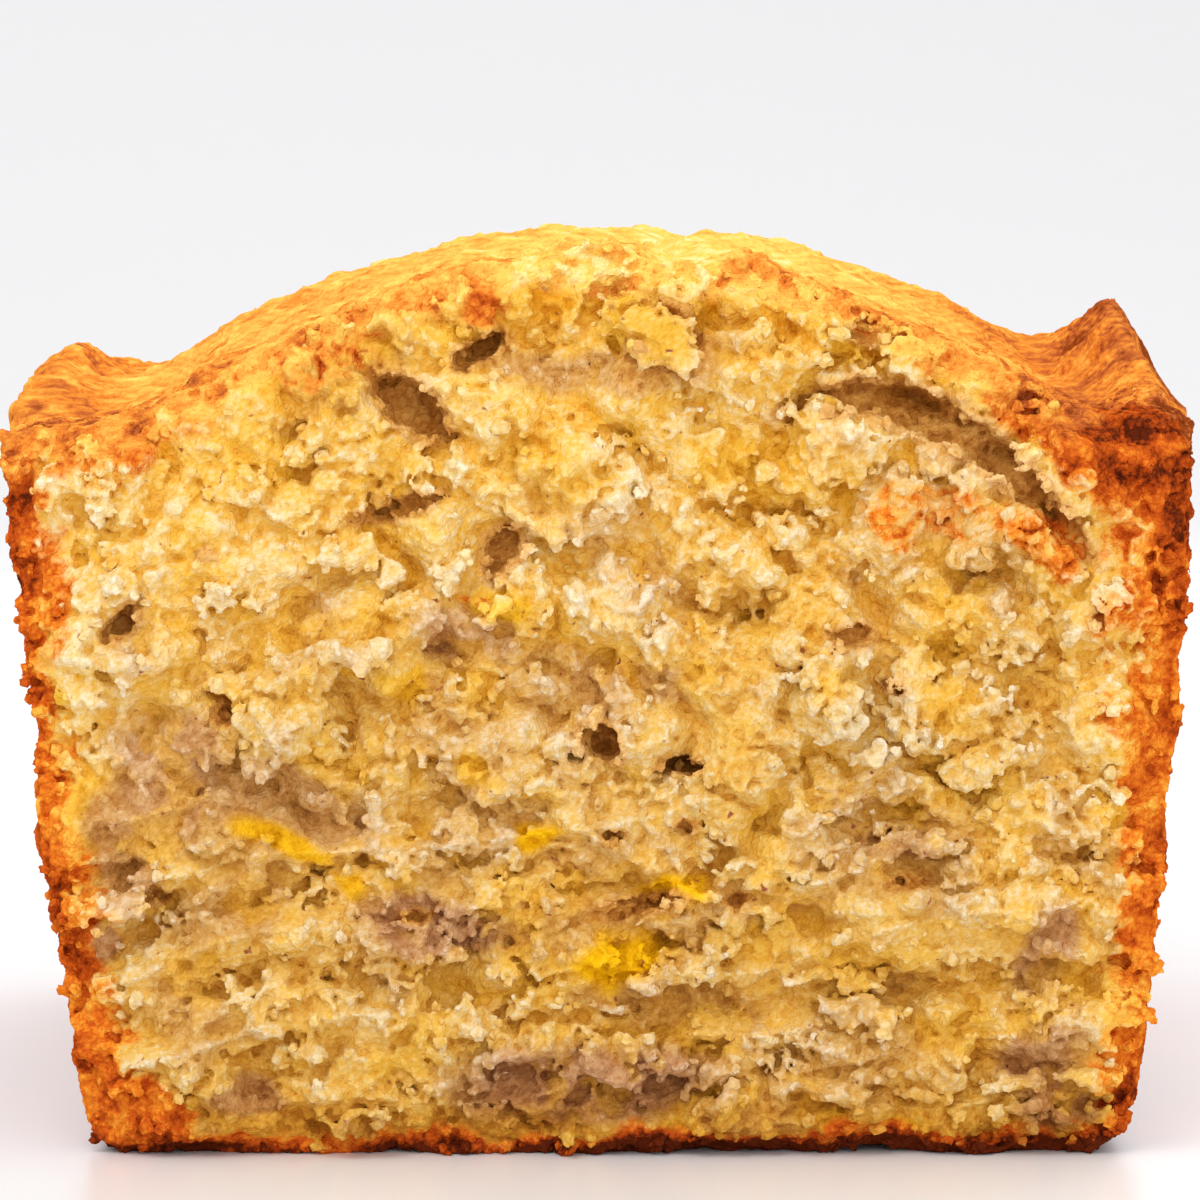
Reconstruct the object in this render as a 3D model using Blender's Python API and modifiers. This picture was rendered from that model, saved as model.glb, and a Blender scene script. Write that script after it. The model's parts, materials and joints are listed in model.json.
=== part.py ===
"""Banana bread: about two thirds of a loaf baked in a one pound tin, standing as it was cut.

The loaf is one solid. Its walls lean out as the tin did, its crown is domed, and the batter that
climbed the tin left raised lips along the rim. One end is cut and torn, so its crumb stands out in
lumps, ledges and hollows. The other end is the rounded, baked end.

X runs across the loaf, Y along it from the cut end to the baked end, and Z up. Sizes are in
millimetres and are turned to metres where meshes are made. The origin is under the middle of the
loaf, on the surface it stands on.
"""

import math

import bmesh
import bpy
import numpy as np
from mathutils import Euler, Matrix

MM = 0.001

# The tin's form, which the loaf keeps
LOAF_LENGTH = 150.0
RIM_WIDTH = 115.5
BASE_WIDTH = 98.4
RIM_HEIGHT = 70.0
WALL_CURVE_LEFT = 0.72
WALL_CURVE_RIGHT = 0.44
END_LEAN = 8.0
TIN_CORNER_RADIUS = 17.0
BASE_EDGE_RADIUS = 4.6

# The risen top
CROWN_RISE = 19.5
CROWN_OFFSET = 1.5
CROWN_ROUND_AT_CUT = 0.78
CROWN_ROUND_INSIDE = 0.45
CROWN_FILLS_OVER = 50.0
CROWN_END_FALL = 58.0
SPLIT_WIDTH = 8.0
SPLIT_DEPTH = 2.2
SPLIT_WANDER = 4.0

# Lips where the batter climbed the tin: height over the rim, and how far in their crest lies
LEFT_LIP_HEIGHT = 6.6
LEFT_LIP_INSET = 1.8
LEFT_LIP_PEAK = 52.0
LEFT_LIP_LENGTH = 70.0
RIGHT_LIP_HEIGHT = 8.8
RIGHT_LIP_INSET = 5.2
RIGHT_LIP_PEAK = 30.0
RIGHT_LIP_LENGTH = 56.0
END_LIP_HEIGHT = 2.6
LIP_WIDTH = 9.0
LIP_FULL = 28.0
LIP_UNEVEN_LENGTH = 13.0
RIM_DROP = 1.6
RIM_DROP_WIDTH = 7.0
TROUGH_INSET = 13.0
TROUGH_WIDTH = 11.0
TROUGH_DEPTH = 0.9

# The cut end
CUT_Y = -69.9
CUT_FOLLOW_DEPTH = 16.0
CRUST_BAND = 6.0
CRUST_SETBACK = 2.6
RAGGED_EDGE_SIZE = 4.0
RAGGED_EDGE_HEIGHT = 0.8
LUMP_SIZE = 9.0
LUMP_HEIGHT = 2.4
CLOT_SIZE = 4.2
CLOT_HEIGHT = 1.1
LAYER_SPACING = 8.5
LAYER_HEIGHT = 0.9
LAYER_TOP = 46.0
LAYER_SLOPE = 0.16

# Crust relief on the walls and the top
CRUST_WAVE_SIZE = 16.0
CRUST_WAVE_HEIGHT = 0.7
CRUST_PIMPLE_SIZE = 5.0
CRUST_PIMPLE_HEIGHT = 0.35

# Mesh making
REMESH_SIZE = 1.15
SOLID_TRIANGLES = 9600
NOISE_CELLS = 32
NOISE_TURN = np.array(Euler((0.6, 0.9, 0.4)).to_matrix())
FLAT_BASE_BAND = 0.9

# Lumps and ledges that stand out of the cut, and dents in it:
# across, up, width, height, turn in degrees, how far it stands out
SWELLS = (
    (-43.0, 49.0, 17.0, 3.6, 4, 2.4),      # ledge at the left wall
    (-44.0, 42.5, 11.0, 5.0, 0, -2.8),     # hollow under that ledge
    (-29.0, 47.3, 8.6, 8.2, 0, 2.6),       # round lump
    (-17.3, 47.3, 9.5, 4.6, -12, 1.8),     # flap beside it
    (-3.2, 52.3, 10.0, 4.8, -10, 1.7),     # flap in the middle
    (-16.2, 61.5, 7.0, 7.6, 20, 2.0),      # lump over the middle
    (22.3, 44.2, 5.4, 7.0, -20, 2.8),      # bright lump right of the middle
    (30.6, 25.6, 14.0, 2.8, 10, 2.1),      # long ridge, lower right
    (-11.0, 10.5, 11.0, 2.6, 4, 1.6),      # ridge near the base
    (-38.2, 25.2, 8.4, 2.6, 27, 2.0),      # ridge, lower left
    (-18.5, 26.6, 6.0, 6.6, 30, 1.8),      # flap, lower left
    (-39.2, 7.4, 5.4, 5.0, 0, 1.8),        # lump at the lower left corner
    (44.5, 12.0, 12.0, 4.6, 14, 1.6),      # ridge at the lower right corner
    (4.6, 80.2, 9.8, 7.8, -8, 3.0),        # smooth lump under the split crown
    (17.0, 76.5, 12.0, 6.0, -15, 1.8),     # lump right of it
    (35.4, 62.6, 16.5, 6.6, -14, 1.6),     # lump under the loose top crust
    (26.0, 62.5, 9.0, 8.0, 0, 1.5),        # lump left of that
    (14.6, 53.6, 6.4, 4.4, 0, -1.9),       # dent right of the middle
    (-24.0, 33.0, 16.0, 6.0, -20, -1.4),   # long dent, left
    (6.0, 62.0, 12.0, 7.0, 10, 1.0),       # low swell
    (46.0, 36.0, 10.0, 16.0, 0, 1.0),      # low swell at the right wall
)

# Holes that go into the crumb: across, up, width, height, turn in degrees, depth
HOLES = (
    (-18.3, 73.2, 8.4, 4.4, -38, 5.0),     # the largest, upper left
    (-11.4, 78.6, 5.4, 2.7, 28, 4.0),      # beside it, under the crown
    (-9.6, 59.3, 3.6, 5.2, -25, 4.5),      # over the middle
    (-19.6, 63.2, 8.0, 2.2, 17, 4.0),      # under the lump over the middle
    (-45.9, 52.2, 2.8, 4.4, -42, 4.5),     # at the left wall
    (25.2, 50.7, 5.6, 2.3, -6, 4.5),       # right of the middle
    (0.4, 40.6, 4.8, 3.6, -30, 4.5),       # in the middle
    (7.9, 38.4, 5.2, 1.9, 4, 4.5),         # beside it
    (3.6, 24.3, 8.2, 2.4, 8, 4.0),         # below the middle
)

# The long hollow where the top crust came loose on the right: it bows up and then falls
ARCH_START = 21.0
ARCH_END = 44.5
ARCH_LEFT_UP = 73.4
ARCH_BOW = 5.2
ARCH_FALL = 17.0
ARCH_PLUGS = 9
ARCH_HEIGHT = 4.6
ARCH_DEPTH = 5.5

HOLE_ROUGH_SIZE = 2.6
HOLE_ROUGH_HEIGHT = 0.35


def smooth_step(low, high, value):
    """0 below low, 1 above high, with a soft change between."""
    t = np.clip((value - low) / (high - low), 0.0, 1.0)
    return t * t * (3.0 - 2.0 * t)


def bell(distance, width):
    """1 at no distance, falling softly to nothing at about one width."""
    return np.exp(-(distance / (0.5 * width)) ** 2)


def lattice_noise(x, y, z, cell, seed):
    """Smooth noise between -1 and 1 whose lumps are about one cell across, on a turned lattice."""
    table = np.random.default_rng(seed).uniform(-1.0, 1.0, (NOISE_CELLS,) * 3)
    place = NOISE_TURN @ (np.stack(np.broadcast_arrays(x, y, z)).reshape(3, -1) / cell)
    corner = np.floor(place).astype(int)
    part = place - corner
    part = part * part * part * (part * (part * 6.0 - 15.0) + 10.0)
    total = np.zeros(place.shape[1])
    for i in (0, 1):
        for j in (0, 1):
            for k in (0, 1):
                weight = (part[0] if i else 1.0 - part[0]) * (part[1] if j else 1.0 - part[1])
                weight = weight * (part[2] if k else 1.0 - part[2])
                total += weight * table[(corner[0] + i) % NOISE_CELLS,
                                        (corner[1] + j) % NOISE_CELLS,
                                        (corner[2] + k) % NOISE_CELLS]
    return total.reshape(np.shape(x))


def half_width(x, z):
    """Half the loaf's width at a height, for the wall on x's side."""
    curve = np.where(x < 0.0, WALL_CURVE_LEFT, WALL_CURVE_RIGHT)
    up = np.clip(z / RIM_HEIGHT, 0.0, 1.0) ** curve
    return 0.5 * (BASE_WIDTH + (RIM_WIDTH - BASE_WIDTH) * up)


def rim_distance(x, y):
    """How far a point of the plan lies inside the tin's rim, round its corners too."""
    half = 0.5 * RIM_WIDTH
    to_wall = half - np.abs(x)
    to_end = 0.5 * LOAF_LENGTH - y
    in_corner = (to_wall < TIN_CORNER_RADIUS) & (to_end < TIN_CORNER_RADIUS)
    from_centre = np.hypot(TIN_CORNER_RADIUS - to_wall, TIN_CORNER_RADIUS - to_end)
    return np.where(in_corner, TIN_CORNER_RADIUS - from_centre, np.minimum(to_wall, to_end))


def lip_height(x, y):
    """How high the rim's lip stands over the rim, near a point of the plan."""
    back = y - CUT_Y
    left = (LEFT_LIP_HEIGHT - END_LIP_HEIGHT) * bell(back - LEFT_LIP_PEAK, LEFT_LIP_LENGTH)
    right = (RIGHT_LIP_HEIGHT - END_LIP_HEIGHT) * bell(back - RIGHT_LIP_PEAK, RIGHT_LIP_LENGTH)
    tall = END_LIP_HEIGHT + np.where(x < 0.0, left, right)
    uneven = 1.0 + 0.14 * lattice_noise(x, y, 0.0 * x, LIP_UNEVEN_LENGTH, 41)
    return tall * uneven * (0.2 + 0.8 * smooth_step(0.0, LIP_FULL, back))


def top_height(x, y):
    """The height of the top crust over a point: rim, dome, split, lips, troughs and drop."""
    half = 0.5 * RIM_WIDTH
    back = y - CUT_Y
    inside = smooth_step(0.0, CROWN_FILLS_OVER, back)
    rounded = CROWN_ROUND_AT_CUT + (CROWN_ROUND_INSIDE - CROWN_ROUND_AT_CUT) * inside
    across = np.clip((x - CROWN_OFFSET) / half, -1.0, 1.0)
    along = smooth_step(0.0, CROWN_END_FALL, 0.5 * LOAF_LENGTH - y) ** 0.6
    dome = CROWN_RISE * (0.95 + 0.05 * inside) * along
    dome = dome * (0.5 + 0.5 * np.cos(math.pi * across)) ** rounded
    wander = SPLIT_WANDER * np.sin(y / 17.0 + 0.4) + 1.5 * np.sin(y / 5.0)
    open_here = 0.75 + 0.5 * lattice_noise(0.0 * x, y, 0.0 * x, 15.0, 42)
    split = SPLIT_DEPTH * open_here * bell(x - 7.0 - wander, SPLIT_WIDTH * open_here) * along
    from_rim = rim_distance(x, y)
    inset = np.where(x < 0.0, LEFT_LIP_INSET, RIGHT_LIP_INSET)
    inset = inset * (0.3 + 0.7 * smooth_step(0.0, LIP_FULL, back))
    lip = lip_height(x, y) * bell(from_rim - inset, LIP_WIDTH)
    trough = TROUGH_DEPTH * bell(from_rim - TROUGH_INSET, TROUGH_WIDTH)
    drop = RIM_DROP * bell(from_rim, RIM_DROP_WIDTH) * (1.0 - smooth_step(0.0, LIP_FULL, back))
    return RIM_HEIGHT + dome - split + lip - trough - drop


def swell(x, z, place):
    """One named lump or dent of the cut face."""
    across, up, width, height, turn, out = place
    angle = math.radians(turn)
    along = (x - across) * math.cos(angle) + (z - up) * math.sin(angle)
    over = (z - up) * math.cos(angle) - (x - across) * math.sin(angle)
    reach = (2.0 * along / width) ** 2 + (2.0 * over / height) ** 2
    return out * np.exp(-reach ** 1.5)


def edge_distance(x, z):
    """How far a point of the cut face lies inside its outline."""
    to_wall = half_width(x, z) - np.abs(x)
    to_top = top_height(x, np.full_like(x, CUT_Y)) - z
    return np.minimum(np.minimum(to_wall, to_top * 1.6), z * 1.6)


def cut_relief(x, z):
    """How far the torn crumb stands out of the cut plane, towards -Y."""
    lumps = np.abs(lattice_noise(x, 0.0 * x, z, LUMP_SIZE, 11)) * 2.0 - 0.6
    clots = np.abs(lattice_noise(x, 0.0 * x + 40.0, z, CLOT_SIZE, 12)) * 2.0 - 0.6
    waver = 2.4 * lattice_noise(x, 0.0 * x, z, 13.0, 13)
    layer_phase = (z - LAYER_SLOPE * x + waver) / LAYER_SPACING
    layers = 1.0 - 2.0 * np.abs(np.sin(math.pi * layer_phase)) ** 0.6
    layered = 1.0 - smooth_step(0.7 * LAYER_TOP, LAYER_TOP, z)
    relief = LUMP_HEIGHT * lumps * (1.0 - 0.35 * layered) + CLOT_HEIGHT * clots
    relief = relief + LAYER_HEIGHT * layers * layered
    for place in SWELLS:
        relief = relief + swell(x, z, place)
    inner = smooth_step(0.0, CRUST_BAND, edge_distance(x, z))
    return relief * (0.25 + 0.75 * inner) - CRUST_SETBACK * (1.0 - inner)


def new_material(name, colour, roughness):
    """A plain Principled material."""
    material = bpy.data.materials.new(name)
    material.use_nodes = True
    shader = material.node_tree.nodes["Principled BSDF"]
    shader.inputs["Base Color"].default_value = (*colour, 1.0)
    shader.inputs["Roughness"].default_value = roughness
    shader.inputs["Metallic"].default_value = 0.0
    return material


def apply_modifiers(thing):
    """Turn an object's modifiers into its mesh."""
    bpy.context.view_layer.update()
    shaped = thing.evaluated_get(bpy.context.evaluated_depsgraph_get())
    mesh = bpy.data.meshes.new_from_object(shaped)
    thing.modifiers.clear()
    thing.data = mesh


def tin_block():
    """The straight-sided block the loaf is shaped from, with its tin corners rounded."""
    bpy.ops.mesh.primitive_cube_add(size=1.0)
    block = bpy.context.object
    block.name = "loaf"
    size = (RIM_WIDTH * MM, LOAF_LENGTH * MM, RIM_HEIGHT * MM)
    block.data.transform(Matrix.Diagonal((*size, 1.0)))
    block.data.transform(Matrix.Translation((0.0, 0.0, 0.5 * size[2])))
    form = bmesh.new()
    form.from_mesh(block.data)
    corners = [e for e in form.edges if all(v.co.y > 0.0 for v in e.verts)
               and abs(e.verts[0].co.z - e.verts[1].co.z) > MM]
    bmesh.ops.bevel(form, geom=corners, offset=TIN_CORNER_RADIUS * MM, offset_type="OFFSET",
                    segments=8, profile=0.5, affect="EDGES")
    front = -0.5 * LOAF_LENGTH * MM
    base = [e for e in form.edges if all(v.co.z < MM for v in e.verts)
            and not all(abs(v.co.y - front) < MM for v in e.verts)]
    bmesh.ops.bevel(form, geom=base, offset=BASE_EDGE_RADIUS * MM, offset_type="OFFSET",
                    segments=4, profile=0.5, affect="EDGES")
    form.to_mesh(block.data)
    form.free()
    remesh = block.modifiers.new("even faces", "REMESH")
    remesh.mode = "VOXEL"
    remesh.voxel_size = REMESH_SIZE * MM
    apply_modifiers(block)
    return block


def shape_loaf(loaf):
    """Lean the walls, raise the crown and the lips, and tear the cut end."""
    count = len(loaf.data.vertices)
    flat = np.empty(count * 3, dtype=np.float32)
    loaf.data.vertices.foreach_get("co", flat)
    x, y, z = (flat.reshape(-1, 3).astype(float) / MM).T
    up = z / RIM_HEIGHT
    lean = END_LEAN * (1.0 - up) * smooth_step(-0.5 * LOAF_LENGTH, 0.5 * LOAF_LENGTH, y)
    y = y - lean
    z = z * top_height(x, y) / RIM_HEIGHT
    x = x * half_width(x, z) / (0.5 * RIM_WIDTH)

    behind = y + 0.5 * LOAF_LENGTH
    follow = 1.0 - smooth_step(0.0, CUT_FOLLOW_DEPTH, behind)
    moved_cut = CUT_Y + 0.5 * LOAF_LENGTH
    wave = lattice_noise(x, y, z, CRUST_WAVE_SIZE, 21) * CRUST_WAVE_HEIGHT
    pimple = lattice_noise(x, y, z, CRUST_PIMPLE_SIZE, 22) * CRUST_PIMPLE_HEIGHT
    rough = (wave + pimple) * smooth_step(0.0, 4.0, z)
    ragged = lattice_noise(x, y, z, RAGGED_EDGE_SIZE, 23) * RAGGED_EDGE_HEIGHT * follow
    side = smooth_step(0.75, 0.98, np.abs(x) / half_width(x, z))
    y = y + follow * (moved_cut - cut_relief(x, z)) + rough * smooth_step(60.0, 70.0, y)
    x = x + (rough + ragged) * np.sign(x) * side
    z = z + (rough + ragged) * smooth_step(0.9, 1.0, up)
    loaf.data.vertices.foreach_set("co", (np.stack((x, y, z), axis=1) * MM).ravel())
    loaf.data.update()


def arch_holes():
    """The plugs that overlap along the hollow under the loose top crust."""
    places = []
    for number in range(ARCH_PLUGS):
        t = number / (ARCH_PLUGS - 1)
        across = ARCH_START + (ARCH_END - ARCH_START) * t
        up = ARCH_LEFT_UP + ARCH_BOW * t - ARCH_FALL * t * t
        slope = (ARCH_BOW - 2.0 * ARCH_FALL * t) / (ARCH_END - ARCH_START)
        swelling = 0.5 + 0.5 * math.sin(math.pi * t)
        height = ARCH_HEIGHT * swelling
        places.append((across, up, 8.5, height, math.degrees(math.atan(slope)),
                       ARCH_DEPTH * swelling))
    return places


def hole_cutter(number, place):
    """A rough, rounded plug that goes into the cut end where a hole shows."""
    across, up, width, height, turn, depth = place
    bpy.ops.mesh.primitive_ico_sphere_add(subdivisions=3, radius=0.5)
    plug = bpy.context.object
    plug.name = f"hole_{number}"
    centre_out = float(cut_relief(np.array([across]), np.array([up]))[0])
    stretch = Matrix.Diagonal((width * MM, 2.0 * depth * MM, height * MM, 1.0))
    tilt = Euler((0.0, -math.radians(turn), 0.0)).to_matrix().to_4x4()
    centre = Matrix.Translation((across * MM, (CUT_Y - centre_out) * MM, up * MM))
    plug.data.transform(centre @ tilt @ stretch)
    for vertex in plug.data.vertices:
        x, y, z = (np.array([c / MM]) for c in vertex.co)
        push = float(lattice_noise(x, y, z, HOLE_ROUGH_SIZE, 31)[0])
        vertex.co += vertex.normal * push * HOLE_ROUGH_HEIGHT * MM
    return plug


def build_loaf():
    """Make the one solid, in a collection of its own."""
    parts = bpy.data.collections.new("banana_bread")
    cutters = bpy.data.collections.new("cutters")
    for group in (parts, cutters):
        bpy.context.scene.collection.children.link(group)

    loaf = tin_block()
    shape_loaf(loaf)
    for number, place in enumerate(list(HOLES) + arch_holes()):
        plug = hole_cutter(number, place)
        for group in plug.users_collection:
            group.objects.unlink(plug)
        cutters.objects.link(plug)
        plug.hide_render = True
        plug.display_type = "WIRE"

    holes = loaf.modifiers.new("holes", "BOOLEAN")
    holes.operation = "DIFFERENCE"
    holes.operand_type = "COLLECTION"
    holes.collection = cutters
    holes.solver = "EXACT"
    again = loaf.modifiers.new("even faces again", "REMESH")
    again.mode = "VOXEL"
    again.voxel_size = REMESH_SIZE * MM
    apply_modifiers(loaf)

    triangles = sum(len(face.vertices) - 2 for face in loaf.data.polygons)
    thin = loaf.modifiers.new("fewer faces", "DECIMATE")
    thin.ratio = SOLID_TRIANGLES / triangles
    thin.use_collapse_triangulate = True
    apply_modifiers(loaf)
    for vertex in loaf.data.vertices:
        if vertex.co.z < FLAT_BASE_BAND * MM:
            vertex.co.z = 0.0

    for group in loaf.users_collection:
        group.objects.unlink(loaf)
    parts.objects.link(loaf)
    loaf.data.materials.clear()
    loaf.data.materials.append(new_material("baked_crumb", (0.69, 0.40, 0.12), 0.85))
    return loaf


for old in list(bpy.data.objects):
    bpy.data.objects.remove(old, do_unlink=True)
build_loaf()
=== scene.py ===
# %% [markdown]
# # Banana bread: the looks
# The loaf was baked in a one pound tin and cut, so one end shows torn crumb. The real crumb is a
# foam of thin walls that ripped, and the real crust is the same foam dried and browned. This lesson
# makes both as real surfaces: a field of numbers says where there is bread, and the surface is
# drawn round it. Colours come after that, from what the field knows about each point.

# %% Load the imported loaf
import json
import math
import time

import bpy
import numpy as np
from mathutils import Euler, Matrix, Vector

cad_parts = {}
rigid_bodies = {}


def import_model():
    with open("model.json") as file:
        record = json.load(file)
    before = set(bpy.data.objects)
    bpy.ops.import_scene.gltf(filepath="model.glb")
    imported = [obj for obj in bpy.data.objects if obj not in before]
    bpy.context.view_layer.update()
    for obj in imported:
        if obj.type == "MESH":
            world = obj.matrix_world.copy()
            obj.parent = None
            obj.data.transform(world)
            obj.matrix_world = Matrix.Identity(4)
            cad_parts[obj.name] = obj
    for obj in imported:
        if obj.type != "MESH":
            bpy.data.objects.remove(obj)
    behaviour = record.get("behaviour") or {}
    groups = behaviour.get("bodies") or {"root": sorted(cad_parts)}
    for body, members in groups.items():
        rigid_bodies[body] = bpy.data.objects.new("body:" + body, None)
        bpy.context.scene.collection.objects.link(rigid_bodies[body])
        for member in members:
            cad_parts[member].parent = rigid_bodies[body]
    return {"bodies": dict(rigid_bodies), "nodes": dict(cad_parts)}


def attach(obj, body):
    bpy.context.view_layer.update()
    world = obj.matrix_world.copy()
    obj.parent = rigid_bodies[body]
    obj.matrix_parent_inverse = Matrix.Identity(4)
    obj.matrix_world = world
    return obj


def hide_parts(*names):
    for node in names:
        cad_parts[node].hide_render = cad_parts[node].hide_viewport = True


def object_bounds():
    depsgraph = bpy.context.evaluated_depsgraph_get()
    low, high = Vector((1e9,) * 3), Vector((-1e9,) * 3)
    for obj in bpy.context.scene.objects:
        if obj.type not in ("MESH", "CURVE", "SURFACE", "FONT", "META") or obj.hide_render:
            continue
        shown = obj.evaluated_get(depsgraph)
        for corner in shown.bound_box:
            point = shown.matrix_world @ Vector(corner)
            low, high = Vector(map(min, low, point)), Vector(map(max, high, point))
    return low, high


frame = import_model()
bpy.context.view_layer.update()
solid_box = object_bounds()
started = time.time()


def tell(words):
    """Print the seconds since the start, and what was made."""
    print(f"{time.time() - started:6.1f} s  {words}")


tell(f"bodies {sorted(frame['bodies'])}, nodes {sorted(frame['nodes'])}, box {solid_box}")

# %% [markdown]
# ## The loaf's form
# The tin leans outwards, the crown is domed and the batter left lips along the rim. A form like
# this could be sculpted by hand. Here it is a height over each point of the plan and a width at
# each height, the same functions that the solid was made from, so both always agree.

# %% Sizes of the tin and the risen top, in millimetres
MM = 0.001
LOAF_LENGTH = 150.0
RIM_WIDTH = 115.5
BASE_WIDTH = 98.4
RIM_HEIGHT = 70.0
WALL_CURVE_LEFT = 0.72
WALL_CURVE_RIGHT = 0.44
END_LEAN = 8.0
TIN_CORNER_RADIUS = 17.0
BASE_EDGE_RADIUS = 4.6

CROWN_RISE = 19.5
CROWN_OFFSET = 1.5
CROWN_ROUND_AT_CUT = 0.78
CROWN_ROUND_INSIDE = 0.45
CROWN_FILLS_OVER = 50.0
CROWN_END_FALL = 58.0
SPLIT_ACROSS = 7.0
SPLIT_WIDTH = 8.0
SPLIT_DEPTH = 2.2
SPLIT_WANDER = 4.0

# left and right lip: height, inset from the rim, its peak behind the cut, length
LIPS = ((6.6, 1.8, 52, 70), (8.8, 5.2, 30, 56))
END_LIP_HEIGHT = 2.6
LIP_WIDTH = 9.0
LIP_FULL = 28.0
LIP_UNEVENNESS = 0.14
LIP_UNEVEN_LENGTH = 13.0
RIM_DROP = 1.6
RIM_DROP_WIDTH = 7.0
TROUGH_INSET = 13.0
TROUGH_WIDTH = 11.0
TROUGH_DEPTH = 0.9

CUT_Y = -69.9
CRUST_BAND = 6.0
CRUST_SETBACK = 2.6
LUMP_SIZE = 9.0
LUMP_HEIGHT = 2.4
CLOT_SIZE = 4.2
CLOT_HEIGHT = 1.1
LAYER_SPACING = 8.5
LAYER_HEIGHT = 0.9
LAYER_TOP = 46.0
LAYER_SLOPE = 0.16
NOISE_CELLS = 32
NOISE_TURN = np.array(Euler((0.6, 0.9, 0.4)).to_matrix())
CELL_CORNERS = [(i, j, k) for i in (0, 1) for j in (0, 1) for k in (0, 1)]

# %% The lumps, ledges and holes that show in the cut end
# across, up, width, height, turn in degrees, how far out
SWELLS = (
    (-43, 49, 17, 3.6, 4, 2.4),
    (-44, 42.5, 11, 5, 0, -2.8),
    (-29, 47.3, 8.6, 8.2, 0, 2.6),
    (-17.3, 47.3, 9.5, 4.6, -12, 1.8),
    (-3.2, 52.3, 10, 4.8, -10, 1.7),
    (-16.2, 61.5, 7, 7.6, 20, 2),
    (22.3, 44.2, 5.4, 7, -20, 2.8),
    (30.6, 25.6, 14, 2.8, 10, 2.1),
    (-11, 10.5, 11, 2.6, 4, 1.6),
    (-38.2, 25.2, 8.4, 2.6, 27, 2),
    (-18.5, 26.6, 6, 6.6, 30, 1.8),
    (-39.2, 7.4, 5.4, 5, 0, 1.8),
    (44.5, 12, 12, 4.6, 14, 1.6),
    (4.6, 80.2, 9.8, 7.8, -8, 3),
    (17, 76.5, 12, 6, -15, 1.8),
    (35.4, 62.6, 16.5, 6.6, -14, 1.6),
    (26, 62.5, 9, 8, 0, 1.5),
    (14.6, 53.6, 6.4, 4.4, 0, -1.9),
    (-24, 33, 16, 6, -20, -1.4),
    (6, 62, 12, 7, 10, 1),
    (46, 36, 10, 16, 0, 1),
)
# across, up, width, height, turn in degrees, depth
HOLES = (
    (-18.3, 73.2, 8.4, 4.4, -38, 5),
    (-11.4, 78.6, 5.4, 2.7, 28, 4),
    (-9.6, 59.3, 3.6, 5.2, -25, 4.5),
    (-19.6, 63.2, 8, 2.2, 17, 4),
    (-45.9, 52.2, 2, 4.8, -36, 4.5),
    (25.2, 50.7, 5.6, 2.3, -6, 4.5),
    (0.4, 40.6, 4.8, 3.6, -30, 4.5),
    (7.9, 38.4, 5.2, 1.9, 4, 4.5),
    (3.6, 24.3, 8.2, 2.4, 8, 4),
)
ARCH_START = 21.0
ARCH_END = 44.5
ARCH_LEFT_UP = 73.4
ARCH_BOW = 5.2
ARCH_FALL = 17.0
ARCH_PLUGS = 9
ARCH_HEIGHT = 4.6
ARCH_DEPTH = 5.5
# Small holes, too fine for the solid
PITS = (
    (4.4, 80.2, 12, 9.4, -14, 2.4),
    (-28.4, 56.5, 1.1, 0.7, 0, 2.2),
    (-38.2, 58.8, 2.2, 1.5, 0, 2.2),
    (9, 79.5, 1.8, 4.4, 8, 2.2),
    (19.9, 47.8, 2.2, 2, 0, 1.2),
    (1.2, 31.5, 2.2, 1.4, 10, 2.2),
    (7.9, 32.4, 2.2, 1.8, 0, 2.2),
    (13.2, 25, 2.2, 1.8, 0, 2.2),
    (30, 27.2, 4.2, 1.6, 6, 2.2),
    (-17.6, 23.8, 3.6, 1.5, 0, 2.2),
    (-42.5, 25.7, 1.8, 1.5, 0, 2.2),
    (48.2, 53.1, 1.2, 2.6, 10, 2.2),
    (25.4, 80, 4, 1.9, -24, 2.2),
    (-13.2, 77.6, 2.2, 2.6, 0, 2.2),
    (-36, 43.5, 3, 2, 20, 2.2),
    (28.5, 46, 3, 1.4, -15, 2.2),
)

# %% Functions for soft changes and for noise at scattered points
def smooth_step(low, high, value):
    """0 below low, 1 above high, with a soft change between."""
    t = np.clip((value - low) / (high - low), 0.0, 1.0)
    return t * t * (3.0 - 2.0 * t)


def bell(distance, width):
    """1 at no distance, falling softly to nothing at about one width."""
    return np.exp(-(distance / (0.5 * width)) ** 2)


def lattice_noise(x, y, z, cell, seed):
    """Smooth noise between -1 and 1 whose lumps are about one cell across, on a turned lattice."""
    table = np.random.default_rng(seed).uniform(-1.0, 1.0, (NOISE_CELLS,) * 3)
    place = NOISE_TURN @ (np.stack(np.broadcast_arrays(x, y, z)).reshape(3, -1) / cell)
    corner = np.floor(place).astype(int)
    part = place - corner
    part = part * part * part * (part * (part * 6.0 - 15.0) + 10.0)
    total = np.zeros(place.shape[1])
    for step in CELL_CORNERS:
        x_share, y_share, z_share = (p if s else 1.0 - p for p, s in zip(part, step))
        value = table[tuple((c + s) % NOISE_CELLS for c, s in zip(corner, step))]
        total += x_share * y_share * z_share * value
    return total.reshape(np.shape(x))

# %% The walls, the lips and the top, as the solid has them
def half_width(x, z):
    """Half the loaf's width at a height, for the wall on x's side."""
    curve = np.where(x < 0.0, WALL_CURVE_LEFT, WALL_CURVE_RIGHT)
    up = np.clip(z / RIM_HEIGHT, 0.0, 1.0) ** curve
    return 0.5 * (BASE_WIDTH + (RIM_WIDTH - BASE_WIDTH) * up)


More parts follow.
